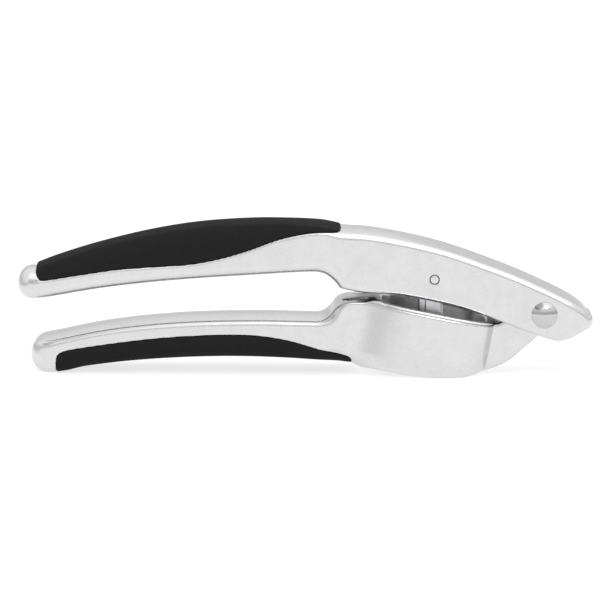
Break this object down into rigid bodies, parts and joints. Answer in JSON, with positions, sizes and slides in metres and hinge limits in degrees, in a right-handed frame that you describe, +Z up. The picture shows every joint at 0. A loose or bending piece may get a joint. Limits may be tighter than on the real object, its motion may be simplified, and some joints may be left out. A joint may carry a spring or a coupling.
{
  "type": "garlic press",
  "caption": "Two-lever garlic press with cast handles, soft black grips, an oval chamber with a strainer, and a pinned plunger.",
  "frame": {"origin": "on the table, midway along the closed press and on its middle plane; the press stands on its chamber and its lower handle's tail", "axes": "+X along the press towards the pivot, +Y across its width, along the pivot pin, +Z up"},
  "size_m": [0.18, 0.0344, 0.0476],
  "materials": {
    "cast_metal": "satin",
    "plunger_metal": "satin",
    "stainless": "polished",
    "pin_steel": "polished",
    "grip_soft": "matte",
    "grip_core": "matte"
  },
  "bodies": {
    "base": {"lower_handle": "cast_metal", "lower_grip": "grip_soft", "lower_grip_core": "grip_core", "sieve_basket": "stainless"},
    "lever": {"upper_handle": "cast_metal", "upper_grip": "grip_soft", "upper_grip_core": "grip_core", "pivot_pin": "pin_steel", "pivot_cap": "pin_steel", "plunger_pin": "pin_steel"},
    "plunger_body": {"plunger": "plunger_metal"}
  },
  "joints": [
    {"name": "lever_hinge", "type": "hinge", "parent": "base", "child": "lever", "pos_m": [0.0743, 0, 0.0193], "axis": [0, 1, 0], "range_deg": [0, 90]},
    {"name": "plunger_swing", "type": "hinge", "parent": "lever", "child": "plunger_body", "pos_m": [0.04, 0, 0.0303], "axis": [0, 1, 0], "range_deg": [-30, 0]}
  ],
  "couplings": [
    {"joint": "plunger_swing", "follows": "lever_hinge", "ratio": -0.33}
  ]
}
